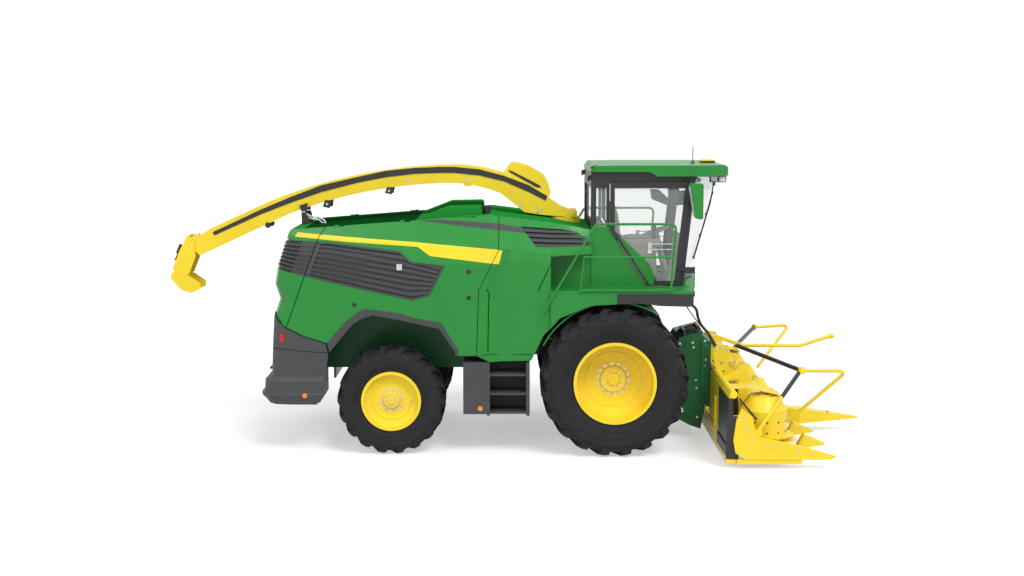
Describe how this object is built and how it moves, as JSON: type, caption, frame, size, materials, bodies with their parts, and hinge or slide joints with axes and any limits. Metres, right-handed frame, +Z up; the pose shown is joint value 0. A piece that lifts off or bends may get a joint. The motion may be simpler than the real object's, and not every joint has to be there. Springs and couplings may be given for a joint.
{
  "type": "forage harvester",
  "caption": "Self-propelled forage harvester with a folding-bar rotary crop header, swivelling discharge spout, glazed cab and steered rear axle",
  "frame": {"origin": "on the ground, under the middle of the overall length and width", "axes": "+X is forward, towards the crop header; +Y is the machine's left; +Z is up"},
  "size_m": [9.9, 4.5, 4.13],
  "materials": {
    "green_paint": "satin",
    "dark_green_paint": "satin",
    "yellow_paint": "satin",
    "charcoal_panel": "matte",
    "black_trim": "matte",
    "chassis_black": "satin",
    "engine_iron": "matte",
    "tyre_rubber": "matte",
    "glass": "gloss",
    "seat_fabric": "matte",
    "interior_grey": "matte",
    "bright_steel": "satin",
    "orange_marker": "gloss",
    "red_lens": "gloss",
    "pale_lens": "gloss"
  },
  "bodies": {
    "chassis": {"chassis_frame": "chassis_black", "body_posts": "chassis_black", "axles": "chassis_black", "hood_fittings": "black_trim", "wheel_housings": "dark_green_paint", "platform_edges": "black_trim", "cab_panels": "green_paint", "work_lamps": "pale_lens", "marker_lamps": "orange_marker", "tail_lamps": "red_lens", "engine_block": "engine_iron", "cutter_housing": "dark_green_paint", "hood_deck": "green_paint", "mid_panels": "green_paint", "rear_panel": "green_paint", "body_grilles": "charcoal_panel", "lower_panels": "charcoal_panel", "walkways": "green_paint", "cab_floor": "charcoal_panel", "cab_frame": "black_trim", "cab_roof": "green_paint", "cab_windows": "glass", "cab_interior": "interior_grey", "seat": "seat_fabric", "cab_equipment": "black_trim"},
    "shield_left": {"side_shield_left": "green_paint", "side_grille_left": "charcoal_panel"},
    "shield_right": {"side_shield_right": "green_paint", "side_grille_right": "charcoal_panel"},
    "door_left": {"cab_door_left": "black_trim", "door_glass_left": "glass"},
    "door_right": {"cab_door_right": "black_trim", "door_glass_right": "glass"},
    "front_wheel_left": {"front_tyre_left": "tyre_rubber", "front_rim_left": "yellow_paint"},
    "front_wheel_right": {"front_tyre_right": "tyre_rubber", "front_rim_right": "yellow_paint"},
    "knuckle_left_body": {"knuckle_left": "chassis_black"},
    "knuckle_right_body": {"knuckle_right": "chassis_black"},
    "rear_wheel_left": {"rear_tyre_left": "tyre_rubber", "rear_rim_left": "yellow_paint"},
    "rear_wheel_right": {"rear_tyre_right": "tyre_rubber", "rear_rim_right": "yellow_paint"},
    "turret": {"spout_turret": "yellow_paint"},
    "spout": {"spout_channel": "yellow_paint", "spout_strips": "black_trim"},
    "flap_upper_body": {"flap_upper": "yellow_paint"},
    "flap_lower_body": {"flap_lower": "yellow_paint"},
    "header": {"feeder_housing": "dark_green_paint", "header_frame": "yellow_paint", "dividers": "yellow_paint", "header_drives": "black_trim", "crop_bars": "yellow_paint"},
    "lift_barrel_body": {"lift_barrels": "chassis_black"},
    "lift_ram_body": {"lift_rams": "bright_steel"},
    "drum_1_body": {"drum_1": "yellow_paint"},
    "drum_2_body": {"drum_2": "yellow_paint"},
    "drum_3_body": {"drum_3": "yellow_paint"},
    "drum_4_body": {"drum_4": "yellow_paint"}
  },
  "joints": [
    {"name": "front_wheel_left_spin", "type": "hinge", "parent": "chassis", "child": "front_wheel_left", "pos_m": [1.304, 1.295, 1.005], "axis": [0, 1, 0], "continuous": true},
    {"name": "steer_left", "type": "hinge", "parent": "chassis", "child": "knuckle_left_body", "pos_m": [-1.716, 0.855, 0.735], "axis": [0, 0, 1], "range_deg": [-38, 38]},
    {"name": "rear_wheel_left_spin", "type": "hinge", "parent": "knuckle_left_body", "child": "rear_wheel_left", "pos_m": [-1.716, 1.205, 0.735], "axis": [0, 1, 0], "continuous": true},
    {"name": "door_left_hinge", "type": "hinge", "parent": "chassis", "child": "door_left", "pos_m": [2.405, 0.99, 2.9], "axis": [0, 0, -1], "range_deg": [0, 24]},
    {"name": "shield_left_hinge", "type": "hinge", "parent": "chassis", "child": "shield_left", "pos_m": [-0.38, 1, 3.23], "axis": [0.997, 0.0202, 0.0741], "range_deg": [0, 60]},
    {"name": "front_wheel_right_spin", "type": "hinge", "parent": "chassis", "child": "front_wheel_right", "pos_m": [1.304, -1.295, 1.005], "axis": [0, 1, 0], "continuous": true},
    {"name": "steer_right", "type": "hinge", "parent": "chassis", "child": "knuckle_right_body", "pos_m": [-1.716, -0.855, 0.735], "axis": [0, 0, 1], "range_deg": [-38, 38]},
    {"name": "rear_wheel_right_spin", "type": "hinge", "parent": "knuckle_right_body", "child": "rear_wheel_right", "pos_m": [-1.716, -1.205, 0.735], "axis": [0, 1, 0], "continuous": true},
    {"name": "door_right_hinge", "type": "hinge", "parent": "chassis", "child": "door_right", "pos_m": [2.405, -0.99, 2.9], "axis": [0, 0, 1], "range_deg": [0, 24]},
    {"name": "shield_right_hinge", "type": "hinge", "parent": "chassis", "child": "shield_right", "pos_m": [-0.38, -1, 3.23], "axis": [-0.997, 0.0202, -0.0741], "range_deg": [0, 60]},
    {"name": "turret_turn", "type": "hinge", "parent": "chassis", "child": "turret", "pos_m": [0.68, 0, 3.14], "axis": [0, 0, 1], "range_deg": [-95, 95]},
    {"name": "spout_lift", "type": "hinge", "parent": "turret", "child": "spout", "pos_m": [0.79, 0, 3.19], "axis": [0, 1, 0], "range_deg": [0, 25]},
    {"name": "flap_upper_tilt", "type": "hinge", "parent": "spout", "child": "flap_upper_body", "pos_m": [-4.64, 0, 2.815], "axis": [0, 1, 0], "range_deg": [-20, 35]},
    {"name": "flap_lower_tilt", "type": "hinge", "parent": "flap_upper_body", "child": "flap_lower_body", "pos_m": [-4.88, 0, 2.3], "axis": [0, 1, 0], "range_deg": [-20, 35]},
    {"name": "header_lift", "type": "hinge", "parent": "chassis", "child": "header", "pos_m": [1.72, 0, 0.9], "axis": [0, -1, 0], "range_deg": [0, 22]},
    {"name": "lift_barrel_tilt", "type": "hinge", "parent": "chassis", "child": "lift_barrel_body", "pos_m": [1.25, 0, 0.62], "axis": [0, -1, 0], "range_deg": [0, 14]},
    {"name": "lift_ram_slide", "type": "slide", "parent": "lift_barrel_body", "child": "lift_ram_body", "axis": [0.9823, 0, -0.1871], "range_m": [0, 0.125]},
    {"name": "drum_1_spin", "type": "hinge", "parent": "header", "child": "drum_1_body", "pos_m": [3.28, -1.6875, 0.5], "axis": [0, 0, 1], "continuous": true},
    {"name": "drum_2_spin", "type": "hinge", "parent": "header", "child": "drum_2_body", "pos_m": [3.28, -0.5625, 0.5], "axis": [0, 0, 1], "continuous": true},
    {"name": "drum_3_spin", "type": "hinge", "parent": "header", "child": "drum_3_body", "pos_m": [3.28, 0.5625, 0.5], "axis": [0, 0, 1], "continuous": true},
    {"name": "drum_4_spin", "type": "hinge", "parent": "header", "child": "drum_4_body", "pos_m": [3.28, 1.6875, 0.5], "axis": [0, 0, 1], "continuous": true}
  ],
  "couplings": [
    {"joint": "steer_right", "follows": "steer_left", "ratio": 1},
    {"joint": "flap_lower_tilt", "follows": "flap_upper_tilt", "ratio": 1},
    {"joint": "lift_barrel_tilt", "follows": "header_lift", "ratio": 0.604},
    {"joint": "lift_ram_slide", "follows": "header_lift", "m_per_rad": 0.3133},
    {"joint": "drum_2_spin", "follows": "drum_1_spin", "ratio": 1},
    {"joint": "drum_3_spin", "follows": "drum_1_spin", "ratio": -1},
    {"joint": "drum_4_spin", "follows": "drum_1_spin", "ratio": -1}
  ]
}
